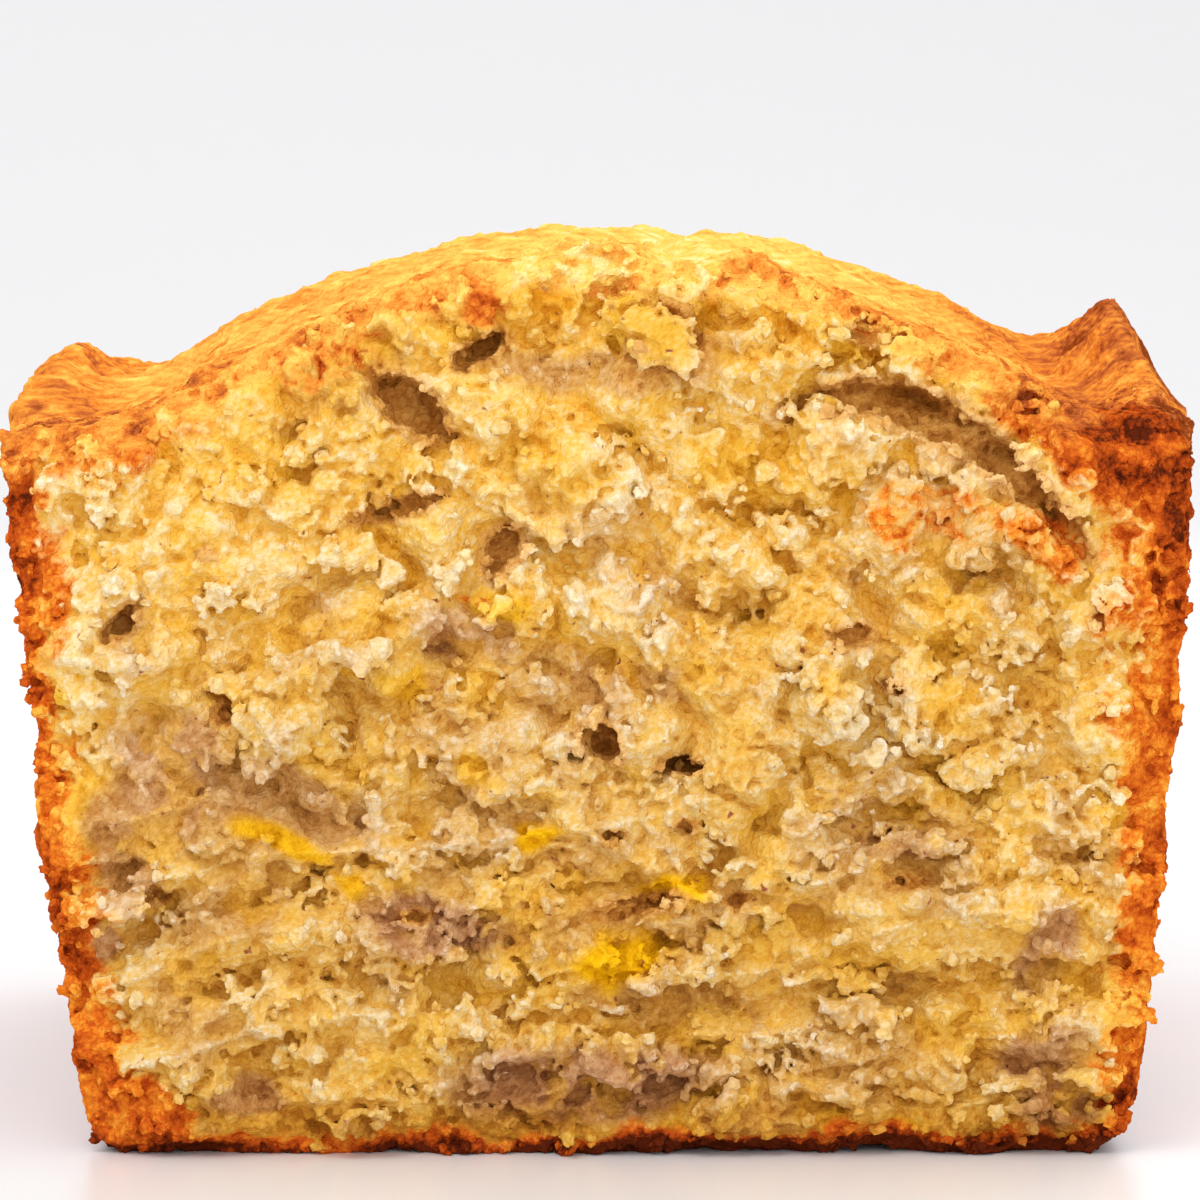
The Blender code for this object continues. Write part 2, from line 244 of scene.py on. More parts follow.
def rim_distance(x, y):
    """How far a point of the plan lies inside the tin's rim, round its corners too."""
    half = 0.5 * RIM_WIDTH
    to_wall = half - np.abs(x)
    to_end = 0.5 * LOAF_LENGTH - y
    in_corner = (to_wall < TIN_CORNER_RADIUS) & (to_end < TIN_CORNER_RADIUS)
    from_centre = np.hypot(TIN_CORNER_RADIUS - to_wall, TIN_CORNER_RADIUS - to_end)
    return np.where(in_corner, TIN_CORNER_RADIUS - from_centre, np.minimum(to_wall, to_end))


def lip_height(x, y):
    """How high the rim's lip stands over the rim, near a point of the plan."""
    back = y - CUT_Y
    height, _, peak, length = (np.where(x < 0.0, *pair) for pair in zip(*LIPS))
    tall = END_LIP_HEIGHT + (height - END_LIP_HEIGHT) * bell(back - peak, length)
    uneven = 1.0 + LIP_UNEVENNESS * lattice_noise(x, y, 0.0 * x, LIP_UNEVEN_LENGTH, 41)
    return tall * uneven * (0.2 + 0.8 * smooth_step(0.0, LIP_FULL, back))


def split_opening(x, y):
    """How open the crack along the crown is at a point of the plan, from 0 to about 1."""
    wander = SPLIT_WANDER * np.sin(y / 17.0 + 0.4) + 1.5 * np.sin(y / 5.0)
    open_here = 0.75 + 0.5 * lattice_noise(0.0 * x, y, 0.0 * x, 15.0, 42)
    return open_here * bell(x - SPLIT_ACROSS - wander, SPLIT_WIDTH * open_here)


def top_height(x, y):
    """The height of the top crust over a point: rim, dome, split, lips and troughs."""
    half = 0.5 * RIM_WIDTH
    back = y - CUT_Y
    inside = smooth_step(0.0, CROWN_FILLS_OVER, back)
    rounded = CROWN_ROUND_AT_CUT + (CROWN_ROUND_INSIDE - CROWN_ROUND_AT_CUT) * inside
    across = np.clip((x - CROWN_OFFSET) / half, -1.0, 1.0)
    along = smooth_step(0.0, CROWN_END_FALL, 0.5 * LOAF_LENGTH - y) ** 0.6
    dome = CROWN_RISE * (0.95 + 0.05 * inside) * along
    dome = dome * (0.5 + 0.5 * np.cos(math.pi * across)) ** rounded
    from_rim = rim_distance(x, y)
    inset = np.where(x < 0.0, LIPS[0][1], LIPS[1][1])
    inset = inset * (0.3 + 0.7 * smooth_step(0.0, LIP_FULL, back))
    lip = lip_height(x, y) * bell(from_rim - inset, LIP_WIDTH)
    trough = TROUGH_DEPTH * bell(from_rim - TROUGH_INSET, TROUGH_WIDTH)
    drop = RIM_DROP * bell(from_rim, RIM_DROP_WIDTH) * (1.0 - smooth_step(0.0, LIP_FULL, back))
    return RIM_HEIGHT + dome - SPLIT_DEPTH * split_opening(x, y) * along + lip - trough - drop

# %% The torn relief of the cut end, as the solid has it
def feature_reach(x, z, place):
    """0 at the middle of a named feature of the cut end and 1 at its outline."""
    across, up, width, height, turn = place[:5]
    angle = math.radians(turn)
    along = (x - across) * math.cos(angle) + (z - up) * math.sin(angle)
    over = (z - up) * math.cos(angle) - (x - across) * math.sin(angle)
    return np.sqrt((2.0 * along / width) ** 2 + (2.0 * over / height) ** 2)


def edge_distance(x, z):
    """How far a point of the cut face lies inside its outline."""
    to_wall = half_width(x, z) - np.abs(x)
    to_top = top_height(x, np.full_like(x, CUT_Y)) - z
    return np.minimum(np.minimum(to_wall, to_top * 1.6), z * 1.6)


def cut_relief(x, z):
    """How far the torn crumb stands out of the cut plane, towards -Y."""
    lumps = np.abs(lattice_noise(x, 0.0 * x, z, LUMP_SIZE, 11)) * 2.0 - 0.6
    clots = np.abs(lattice_noise(x, 0.0 * x + 40.0, z, CLOT_SIZE, 12)) * 2.0 - 0.6
    waver = 2.4 * lattice_noise(x, 0.0 * x, z, 13.0, 13)
    layer_phase = (z - LAYER_SLOPE * x + waver) / LAYER_SPACING
    layers = 1.0 - 2.0 * np.abs(np.sin(math.pi * layer_phase)) ** 0.6
    layered = 1.0 - smooth_step(0.7 * LAYER_TOP, LAYER_TOP, z)
    relief = LUMP_HEIGHT * lumps * (1.0 - 0.35 * layered) + CLOT_HEIGHT * clots
    relief = relief + LAYER_HEIGHT * layers * layered
    for place in SWELLS:
        relief = relief + place[5] * np.exp(-feature_reach(x, z, place) ** 3)
    inner = smooth_step(0.0, CRUST_BAND, edge_distance(x, z))
    return relief * (0.25 + 0.75 * inner) - CRUST_SETBACK * (1.0 - inner)


def arch_holes():
    """The plugs that overlap along the cavity under the loose top crust."""
    places = []
    for number in range(ARCH_PLUGS):
        t = number / (ARCH_PLUGS - 1)
        across = ARCH_START + (ARCH_END - ARCH_START) * t
        up = ARCH_LEFT_UP + ARCH_BOW * t - ARCH_FALL * t * t
        slope = (ARCH_BOW - 2.0 * ARCH_FALL * t) / (ARCH_END - ARCH_START)
        swelling = 0.5 + 0.5 * math.sin(math.pi * t)
        places.append((across, up, 8.5, ARCH_HEIGHT * swelling,
                       math.degrees(math.atan(slope)), ARCH_DEPTH * swelling))
    return places

# %% [markdown]
# ## Noise on a whole grid
# The field needs soft random lumps at millions of grid points. Blender's noise functions answer one
# point at a time. A table of random numbers, smoothed along one axis after the other by cubic
# B-spline weights, does it in three steps, and gives the same value at the same place on any grid.

# %% Spline noise
NOISE_LOW = (-66.0, -86.0, -6.0)
NOISE_HIGH = (66.0, 84.0, 98.0)
UNIT_SPREAD = 10.4


def spline_noise(axes, cells, seed):
    """Soft noise of about unit spread on the grid of three axes; cells are its lump sizes."""
    counts = [int((high - low) / cell) + 6
              for low, high, cell in zip(NOISE_LOW, NOISE_HIGH, cells)]
    grid = np.random.default_rng(seed).random(counts, dtype=np.float32) - np.float32(0.5)
    for axis in (2, 1, 0):
        at = (axes[axis] - NOISE_LOW[axis]) / cells[axis] + 1.0
        base = np.floor(at).astype(int)
        t = (at - base).astype(np.float32)
        shape = [1, 1, 1]
        shape[axis] = -1
        weights = ((1 - t) ** 3, 3 * t ** 3 - 6 * t ** 2 + 4,
                   3 * t + 3 * t ** 2 - 3 * t ** 3 + 1, t ** 3)
        smoothed = 0.0
        for step, weight in enumerate(weights):
            part = np.take(grid, base - 1 + step, axis=axis)
            part *= weight.reshape(shape) / np.float32(6.0)
            smoothed = part + smoothed if step == 0 else np.add(smoothed, part, out=smoothed)
        grid = smoothed
    return grid * np.float32(UNIT_SPREAD)


def spread_noise(axes, cells_and_shares, seed, deep=1.0):
    """Noise of several lump sizes, each with its share; deep stretches it along the loaf."""
    total = 0.0
    for number, (cell, share) in enumerate(cells_and_shares):
        cells = (cell, deep * cell, cell)
        total = total + np.float32(share) * spline_noise(axes, cells, seed + number)
    return total

# %% Means over small cubes of a grid
def box_mean(grid, radius):
    """The mean over a cube of a grid, from running sums."""
    out = grid.astype(np.float32)
    for axis in range(3):
        pad = [(0, 0)] * 3
        pad[axis] = (radius + 1, radius)
        sums = np.cumsum(np.pad(out, pad, mode="edge"), axis=axis, dtype=np.float64)
        span = 2 * radius + 1
        high = np.take(sums, range(span, sums.shape[axis]), axis=axis)
        low = np.take(sums, range(0, sums.shape[axis] - span), axis=axis)
        out = ((high - low) / span).astype(np.float32)
    return out

# %% Depth under the crust at every point of a grid
def rounded_min(one, two, radius):
    """The smaller of two depths, with the corner between them rounded."""
    corner = radius - np.hypot(radius - one, radius - two)
    return np.where((one < radius) & (two < radius), corner, np.minimum(one, two))


def skin_depth(axes):
    """How deep each grid point lies under the walls, end, base and top, below 0 outside."""
    xs, ys, zs = (a.astype(np.float32) for a in axes)
    x, z = np.meshgrid(xs, zs, indexing="ij")
    half = 0.5 * RIM_WIDTH
    to_wall = (half - np.abs(x) * half / half_width(x, z)).astype(np.float32)[:, None, :]
    x, y = np.meshgrid(xs, ys, indexing="ij")
    top = top_height(x, y).astype(np.float32)[:, :, None]
    up = zs[None, None, :] / top
    leaning = smooth_step(-0.5 * LOAF_LENGTH, 0.5 * LOAF_LENGTH, ys)[None, :, None]
    to_end = 0.5 * LOAF_LENGTH - ys[None, :, None] - END_LEAN * (1.0 - up) * leaning
    depth = rounded_min(to_wall, to_end, TIN_CORNER_RADIUS)
    depth = rounded_min(depth, zs[None, None, :], BASE_EDGE_RADIUS)
    return np.minimum(depth, (1.0 - up) * top).astype(np.float32)

# %% [markdown]
# ## From a field to a mesh
# Blender can turn a volume into a mesh, but then the colours' measures would be lost. Surface nets
# are short to write: every cell of the grid that the surface crosses gets one point, at the mean of
# its crossings, and every grid edge that is crossed gets one face between its four cells.

# %% Surface nets
def surface_nets(field, axes):
    """Points in millimetres and quads that face outwards, for the zero surface of a grid."""
    step = axes[0][1] - axes[0][0]
    inside = field > 0.0
    size = [n - 1 for n in field.shape]
    filled = np.zeros(size, np.int8)
    for i, j, k in CELL_CORNERS:
        filled += inside[i:size[0] + i, j:size[1] + j, k:size[2] + k]
    cells = np.argwhere((filled > 0) & (filled < 8)).astype(np.int32)
    index = np.full(size, -1, np.int32)
    index[tuple(cells.T)] = np.arange(len(cells), dtype=np.int32)
    value = {corner: field[tuple((cells + corner).T)] for corner in CELL_CORNERS}
    total = np.zeros((len(cells), 3), np.float32)
    hits = np.zeros(len(cells), np.float32)
    for near in CELL_CORNERS:
        for axis in range(3):
            if near[axis]:
                continue
            far = tuple(1 if n == axis else near[n] for n in range(3))
            crossed = (value[near] > 0) != (value[far] > 0)
            share = value[near][crossed] / (value[near][crossed] - value[far][crossed])
            spot = np.tile(np.array(near, np.float32), (len(share), 1))
            spot[:, axis] = share
            total[crossed] += spot
            hits[crossed] += 1
    points = (cells + total / hits[:, None]) * step + np.array([a[0] for a in axes])
    quads = []
    for axis in range(3):
        low = [slice(1, -1)] * 3
        low[axis] = slice(0, -1)
        high = list(low)
        high[axis] = slice(1, None)
        at = np.argwhere(inside[tuple(low)] != inside[tuple(high)])
        at = at + np.array([0 if n == axis else 1 for n in range(3)])
        one, two = np.delete(np.eye(3, dtype=int), axis, axis=0)
        ring = np.stack([index[tuple((at - back).T)]
                         for back in (one + two, two, 0 * one, one)], axis=1)
        outward = inside[tuple(at.T)] if axis != 1 else ~inside[tuple(at.T)]
        ring[~outward] = ring[~outward][:, ::-1]
        quads.append(ring)
    return points, np.concatenate(quads)

# %% A Blender mesh from points and quads
def placed(name, data):
    """A new object in the scene, at the origin."""
    thing = bpy.data.objects.new(name, data)
    bpy.context.scene.collection.objects.link(thing)
    return thing


def write_measures(mesh, measures, chosen):
    """Keep one number for each chosen point and measure on a mesh."""
    for measure, values in measures.items():
        layer = mesh.attributes.new(measure, "FLOAT", "POINT")
        layer.data.foreach_set("value", values[chosen].astype(np.float32))


def new_piece(name, points, quads, measures, smooth=True):
    """A mesh object from points in millimetres, with one number for each point and measure."""
    used, quads = np.unique(quads, return_inverse=True)
    mesh = bpy.data.meshes.new(name)
    mesh.vertices.add(len(used))
    mesh.vertices.foreach_set("co", (points[used] * MM).astype(np.float32).ravel())
    mesh.loops.add(quads.size)
    mesh.loops.foreach_set("vertex_index", quads.astype(np.int32).ravel())
    mesh.polygons.add(quads.size // 4)
    mesh.polygons.foreach_set("loop_start", np.arange(0, quads.size, 4, dtype=np.int32))
    mesh.update(calc_edges=True)
    mesh.polygons.foreach_set("use_smooth", np.full(quads.size // 4, smooth))
    write_measures(mesh, measures, used)
    tell(f"{name}: {quads.size // 2} triangles")
    return placed(name, mesh)

# %% [markdown]
# ## The crumb
# Torn crumb is not a bumpy plane. It is broad areas of fine foam at different levels, parted by
# steep, jagged steps where the foam gave way, with clots that hang out over gaps. Soft noise pushed
# through a steep curve makes such levels: flat where the noise is far from zero, and a step where
# it crosses zero, as ragged as the noise is fine. In the lower half of this loaf the levels lie
# flat, in layers.

# %% The grid at the cut end
GRID_STEP = 0.25
CRUMB_REACH = 7.0
SLAB_DEPTH = 14.0
SIDE_ROOM = 2.0


def grid_axes(front, back, step):
    """The places across, along and up of a grid round the loaf, from front to back."""
    ends = ((-0.5 * RIM_WIDTH - SIDE_ROOM, 0.5 * RIM_WIDTH + SIDE_ROOM), (front, back),
            (-SIDE_ROOM, RIM_HEIGHT + CROWN_RISE + SIDE_ROOM))
    return tuple(np.arange(low, high, step) for low, high in ends)


crumb_axes = grid_axes(CUT_Y - CRUMB_REACH, CUT_Y + SLAB_DEPTH, GRID_STEP)
face_x, face_z = np.meshgrid(crumb_axes[0], crumb_axes[2], indexing="ij")
relief = cut_relief(face_x, face_z)
inner = smooth_step(0.0, CRUST_BAND, edge_distance(face_x, face_z))
behind_cut = (crumb_axes[1][None, :, None] - (CUT_Y - relief)[:, None, :]).astype(np.float32)
layered = 1.0 - smooth_step(0.5 * LAYER_TOP, 1.3 * LAYER_TOP, crumb_axes[2])
layered = layered.astype(np.float32)[None, None, :]
tell(f"grid {behind_cut.shape}")

# %% Levels of torn foam
# lump size, step between levels in millimetres, how steep the steps are, how layered low down
LEVELS = ((9.0, 1.0, 3.5, 1.0), (5.0, 0.75, 4.5, 1.0), (2.8, 0.36, 3.5, 0.3))
RAGGED = ((1.9, 0.3), (1.0, 0.26), (0.56, 0.2))
MEAN_SETBACK = 0.6
ragged = [spread_noise(crumb_axes, RAGGED, 200 + 10 * number, 2.0)
          for number in range(len(LEVELS))]
field = behind_cut - MEAN_SETBACK
for number, (size, step, steep, flatness) in enumerate(LEVELS):
    round_lumps = spline_noise(crumb_axes, (size, 1.4 * size, size), 230 + number)
    flat_lumps = spline_noise(crumb_axes, (1.9 * size, 1.4 * size, 0.62 * size), 235 + number)
    lumps = round_lumps + (flat_lumps - round_lumps) * flatness * layered + ragged[number]
    field += np.float32(step) * np.tanh(np.float32(steep) * lumps)
tell("levels")

# %% Clots of crumb that hang out
# Room round a lump or hole for an outline that noise has bent
WINDOW_ROOM = 2.0
LUMP_BENDING = 1.3


def face_cell(across, up):
    """The crumb grid's cell at a place of the cut face."""
    return int((across - crumb_axes[0][0]) / GRID_STEP), int((up - crumb_axes[2][0]) / GRID_STEP)


def grid_window(centre, reach):
    """The slices of the crumb grid within reach of a point."""
    reach = reach + WINDOW_ROOM
    return tuple(slice(np.searchsorted(places, middle - reach),
                       np.searchsorted(places, middle + reach))
                 for places, middle in zip(crumb_axes, centre))


def bent_offsets(centre, window, bending):
    """Offsets from a centre in a window of the grid, in space bent by noise."""
    offsets = []
    for axis in range(3):
        shape = [1, 1, 1]
        shape[axis] = -1
        places = crumb_axes[axis][window[axis]].reshape(shape)
        offsets.append(places + bending * ragged[axis][window] - centre[axis])
    return offsets


def turned(offsets, angle):
    """Offsets turned in the face's plane by an angle in radians."""
    dx, dy, dz = offsets
    return (dx * math.cos(angle) + dz * math.sin(angle), dy,
            dz * math.cos(angle) - dx * math.sin(angle))


CLOT_SPACING = 5.8
CLOT_OUT = (0.2, 1.6)
CLOT_RADIUS = (1.2, 3.2)
FEW_LARGE_CLOTS = 1.8
CLOT_TILT = 0.14
CLOT_TILTS = 2.2
FLAT_TILTS = 0.7
rng = np.random.default_rng(7)
clot_area = (RIM_WIDTH + 2.0 * SIDE_ROOM) * (RIM_HEIGHT + CROWN_RISE + 2.0 * SIDE_ROOM)
clots = int(clot_area / CLOT_SPACING ** 2)
for number in range(clots):
    across = rng.uniform(-0.5 * RIM_WIDTH, 0.5 * RIM_WIDTH)
    up = rng.uniform(0.0, RIM_HEIGHT + CROWN_RISE)
    chance = rng.random(6)
    i, k = face_cell(across, up)
    flat = layered[0, 0, k]
    size = CLOT_RADIUS[0] + (CLOT_RADIUS[1] - CLOT_RADIUS[0]) * chance[0] ** FEW_LARGE_CLOTS
    size = size * (0.55 + 0.45 * inner[i, k])
    wide = size * (1.0 + 0.6 * chance[1] + 0.5 * flat)
    tall = size * (0.75 + 0.35 * chance[2] - 0.25 * flat)
    deep = size * (0.75 + 0.35 * chance[3])
    out = (CLOT_OUT[0] + (CLOT_OUT[1] - CLOT_OUT[0]) * chance[4]) * inner[i, k]
    centre = (across, CUT_Y - relief[i, k] - out + deep, up)
    tilt = CLOT_TILT + (chance[5] - 0.5) * (CLOT_TILTS + (FLAT_TILTS - CLOT_TILTS) * flat)
    window = grid_window(centre, wide)
    dx, dy, dz = turned(bent_offsets(centre, window, LUMP_BENDING), tilt)
    reach = ((dx / wide) ** 2 + (dz / tall) ** 2) ** 1.5 + np.abs(dy / deep) ** 3
    lump = (1.0 - np.cbrt(reach)) * min(wide, tall, deep)
    field[window] = np.maximum(field[window], lump)
# How deep the gaps between clots go, and how uneven the floor of gaps and holes is
DEEPEST_GAP = 1.6
FLOOR_WAVER = 0.8
field = np.maximum(field, behind_cut - DEEPEST_GAP + FLOOR_WAVER * ragged[1])
tell(f"{clots} clots")

# %% Holes, lumps that stayed whole, and the painted shade round the holes
# across, up, width, height, turn in degrees, how far out
WHOLE_LUMPS = (
    (3, 81.8, 6, 4.6, -30, 2.3),
    (5, 80.4, 8.4, 5.2, -32, 2.6),
    (7, 78.6, 4.4, 3.4, -30, 2.2),
    (22.2, 44, 4.6, 6.2, -20, 2.6),
    (-29.2, 47.3, 8.2, 5.4, 0, 2.2),
    (20.6, 71.6, 8, 4.2, -14, 1.8),
)
HOLE_BENDING = 0.45
# Even the deepest hole shows its floor, which the painted hole shade colours brown
HOLE_FLOOR = 3.7
# How far a hole's painted shade reaches, in times its size, how softly it fades, and how far a lump
# keeps clear
HOLE_SHADE = 1.5
HOLE_SHADE_SOFT = 0.4
LUMP_CLEAR = 1.1
# Painted shade: each hole darkens the crumb's colour in and round it, where shade falls
painted_hole_shade = np.zeros_like(field)
for place in list(HOLES) + arch_holes() + list(PITS) + list(WHOLE_LUMPS):
    across, up, width, height, turn, depth = place
    i, k = face_cell(across, up)
    whole = place in WHOLE_LUMPS
    front = CUT_Y - relief[i, k]
    centre = (across, front - depth + 0.5 * height if whole else front, up)
    if whole:
        depth = 0.5 * height
    window = grid_window(centre, max(0.5 * width, 0.5 * height, depth))
    bending = LUMP_BENDING if whole else HOLE_BENDING
    dx, dy, dz = turned(bent_offsets(centre, window, bending), math.radians(turn))
    reach = np.sqrt((2.0 * dx / width) ** 2 + (dy / depth) ** 2 + (2.0 * dz / height) ** 2)
    gap = (reach - 1.0) * 0.5 * min(width, height)
    if whole:
        field[window] = np.maximum(field[window], -gap)
        painted_hole_shade[window] *= reach > LUMP_CLEAR
    else:
        field[window] = np.minimum(field[window], gap)
        shade = np.clip((HOLE_SHADE - reach) / HOLE_SHADE_SOFT, 0.0, 1.0)
        painted_hole_shade[window] = np.maximum(painted_hole_shade[window], shade)
field = np.maximum(field, behind_cut - HOLE_FLOOR + FLOOR_WAVER * ragged[1])
tell("holes and lumps")

# %% Close pores too narrow to stay open in soft crumb
PORE_BOX = 1.0
PORE_SHARE = 0.74
share = box_mean(field > 0.0, round(PORE_BOX / GRID_STEP))
field = np.maximum(field, 1.5 * (share - PORE_SHARE))
tell("pores")

# %% Fine grain, and the crust's skin round the edge
GRAIN_SCALES = ((1.2, 0.14), (0.6, 0.16))
SKIN_SCALES = ((5.0, 0.25), (2.2, 0.2), (1.1, 0.14))
SKIN_GRAIN = 1.0


def grains(axes):
    """Noise folded at zero: round grains with creases between them."""
    total = 0.0
    for number, (cell, share) in enumerate(GRAIN_SCALES):
        folded = np.abs(spline_noise(axes, (cell, cell, cell), 260 + number))
        total = total + np.float32(share) * (folded - np.float32(0.8))
    return total


grain = grains(crumb_axes)
field = field + grain
skin = skin_depth(crumb_axes) + spread_noise(crumb_axes, SKIN_SCALES, 300)
field = np.minimum(field, skin + SKIN_GRAIN * grain)
field = np.minimum(field, crumb_axes[2].astype(np.float32)[None, None, :])
field[:, 0] = -1.0
tell("skin")

# %% [markdown]
# Noise leaves closed bubbles inside and scraps in the air. Nobody sees the bubbles, and the scraps
# would float, so air that can't be reached from in front becomes bread, and bread that isn't held
# from behind becomes air. Reach is spread slice by slice, forwards and back.

# %% Keep only open air and held bread
def reached(passable, start):
    """The part of a grid that can be reached from its first or last slice along the loaf."""
    forward = list(range(passable.shape[1]))[::1 if start == 0 else -1]
    found = np.zeros_like(passable)
    layer = passable[:, start].copy()
    for sweep in (forward, forward[::-1], forward):
        for y in sweep:
            for shift, axis in ((1, 0), (-1, 0), (1, 1), (-1, 1)):
                layer = layer | np.roll(layer, shift, axis)
            layer = (layer | found[:, y]) & passable[:, y]
            found[:, y] = layer
        layer = found[:, sweep[-1]]
    return found


JUST_INSIDE = 0.05
air = field <= 0.0
shut = air & ~reached(air, 0)
field[shut] = JUST_INSIDE
bread = field > 0.0
loose = bread & ~reached(bread, -1)
field[loose] = -JUST_INSIDE
tell(f"{shut.sum()} shut and {loose.sum()} loose points mended")

# %% The crumb's surface
SEAM_Y = CUT_Y + 11.0
SEAM_OVERLAP = 2.5
JITTER = 0.07
points, quads = surface_nets(field, crumb_axes)
middle_y = points[quads[:, 0], 1]
quads = quads[middle_y < SEAM_Y + SEAM_OVERLAP]
points = points + rng.uniform(-JITTER, JITTER, points.shape)
tell(f"{len(quads)} quads")

# %% [markdown]
# ## What each point of the surface knows
# Crumb looks pale at its tips and golden in its hollows: thin tips dry, while hollows lie in shade
# and keep the light that enters them. The colours paint that shade in: the share of bread in a
# small box round a point tells tips from hollows, and hollows get deeper colour. Depth under the
# skin tells how browned it is, banana flesh shows where the fruit lay, and one mauve patch paints
# the shade under the crown crust.

# %% Share of bread around each point
def sampled(grid, axes, points):
    """The grid's value at the grid point next to each place."""
    nearest = []
    for axis, places in enumerate(axes):
        at = np.rint((points[:, axis] - places[0]) / (places[1] - places[0])).astype(int)
        nearest.append(np.clip(at, 0, len(places) - 1))
    return grid[tuple(nearest)]


NEAR_RADIUS = 0.55
WIDE_RADIUS = 2.4


def bread_shares(field, axes, points):
    """The share of bread in a small and in a wide box round each point."""
    step = axes[0][1] - axes[0][0]
    return [sampled(box_mean(field > 0.0, max(1, round(radius / step))), axes, points)
            for radius in (NEAR_RADIUS, WIDE_RADIUS)]


near_cut, wide_cut = bread_shares(field, crumb_axes, points)
under_cut_crust = sampled(skin, crumb_axes, points)
tell("bread shares")

# %% Where the banana lies, and one patch of painted shade
# across, up, width, height, turn in degrees, strength
MAUVE_FLESH_AND_CROWN_SHADE = (
    (-42, 37, 15, 16, 0, 0.85),
    (-30, 34.5, 22, 10, -12, 0.65),
    (-40, 15, 9, 10, 20, 0.45),
    (-16.1, 22.6, 17, 7.5, -8, 1),
    (-12.8, 50.7, 13, 6, -10, 0.8),
    (-0.5, 45.5, 7, 9, 20, 0.6),
    (7.4, 46.8, 8, 4, 0, 0.6),
    (29, 30.5, 11, 4, -8, 0.7),
    (43.9, 20.9, 6, 12, -15, 0.9),
    (42.9, 10.4, 11, 6, 20, 0.9),
    (44.6, 5, 10, 7, 20, 0.85),
    (-1.2, 7.2, 32, 9.5, 0, 1),
    (-34.8, 6, 8, 3.4, 0, 0.8),
    (-48.8, 20.4, 4, 6, -30, 0.9),
    (-46.5, 30, 8, 18, 0, 0.75),
    (-37, 24, 15, 8, 20, 0.5),
    # Not fruit: painted shade under the crown crust, where it overhangs the crumb
    (-2, 76.2, 21, 4.2, -6, 0.6),
)
YELLOW_FLESH = (
    (-5.6, 31.3, 6, 3.6, 0, 1),
    (7.4, 25.9, 9.6, 4.6, 8, 1),
    (37.5, 72, 15, 7, -32, 0.5),
    (1.6, 19, 11.5, 6.4, 12, 1),
    (-30.5, 30.7, 12, 3.2, -25, 0.95),
    (-23.8, 26.7, 6, 2.8, -20, 0.9),
    (-9.9, 53.8, 6, 3.2, 0, 0.8),
    (9.3, 46.8, 3.4, 3.4, 0, 0.5),
    (-11.8, 38.2, 5.6, 4.6, 0, 0.7),
    (-18.5, 46.4, 5, 4, 0, 0.7),
    (-52.4, 44.9, 3, 3, 0, 0.7),
    (29.5, 2.9, 4.4, 1.8, 0, 0.6),
    (4.8, 80.2, 12, 7, -30, 0.5),
    (-14, 77, 5, 9, 10, 0.4),
    (14, 68, 14, 9, -10, 0.35),
    (-6, 66, 16, 9, 0, 0.3),
    (-17, 71.2, 5, 2.6, -20, 0.6),
    (22, 66.5, 9, 7, 0, 0.35),
)
STREAK_SIZE = 3.2
STREAK_BEND = 1.6
STREAK_BEND_UP = 0.96
# Where a patch starts to fade and where it ends, from 0 at its middle to 1 at its outline
PATCH_FADE = (0.55, 1.15)


def torn_patches(points, places, seed):
    """How much of the given patches shows at each point of the cut end, with torn outlines: banana,
    browned spots or painted shade.
    """
    x, y, z = points.T
    x = x + STREAK_BEND * lattice_noise(x, y, z, STREAK_SIZE, seed)
    z = z + STREAK_BEND_UP * lattice_noise(x, y, z, STREAK_SIZE, seed + 1)
    total = np.zeros(len(points))
    for place in places:
        fade = smooth_step(*PATCH_FADE, feature_reach(x, z, place))
        total = np.maximum(total, place[5] * (1.0 - fade))
    return total


def fractal(points, size, octaves, seed):
    """Noise between about -1 and 1 at points, with finer and weaker lumps added."""
    x, y, z = points.T
    return sum(0.55 ** n * lattice_noise(x, y, z, size * 0.5 ** n, seed + n)
               for n in range(octaves))

# %% How browned each point is
# Width of the browned band: thin halfway up the walls and thick under the rim
BAND_HEIGHTS = (0, 12, 25, 35, 45, 53, 62, 72)
LEFT_BAND = (7, 7, 6, 4.5, 3.4, 5.5, 6, 6.5)
RIGHT_BAND = (4, 6.5, 6.5, 7, 8.2, 9.2, 11, 14)
# Places across, and the top band's width at each: thin at the crown
TOP_BAND = ((-42, -24, 0, 36, 43, 47), (6, 5, 4, 4, 6, 10))
BASE_BAND = 3.2
# Paler, below 0, or darker, above 0, patches up each wall
TONE_HEIGHTS = (0, 15, 23, 34, 45, 56, 62, 72)
LEFT_TONE = (0, 0, 0.2, -0.32, -0.12, 0, 0, 0)
RIGHT_TONE = (0.36, -0.3, 0.05, -0.08, -0.08, 0, 0, 0)
BAND_WAVER = 0.32
# across, up, width, height, turn in degrees, strength
SCORCHED = (
    (35.5, 62.7, 17, 6, -14, 0.27),
    (29, 62.8, 7.6, 8.6, 10, 0.36),
    (42, 60.4, 13, 5.4, -30, 0.38),
    (51.8, 68, 12, 11, 0, 0.9),
    (-45.5, 4.5, 17, 9, -25, 0.72),
    (-12, 82.4, 5.4, 4.4, 0, 0.34),
    (-26, 76.5, 9, 4, 20, 0.25),
    (-12, 54.6, 3.6, 1.6, 0, 0.6),
)


def by_height(x, z, heights, left, right):
    """A value that changes up the walls, one way on the left and another on the right."""
    return np.where(x < 0.0, np.interp(z, heights, left), np.interp(z, heights, right))


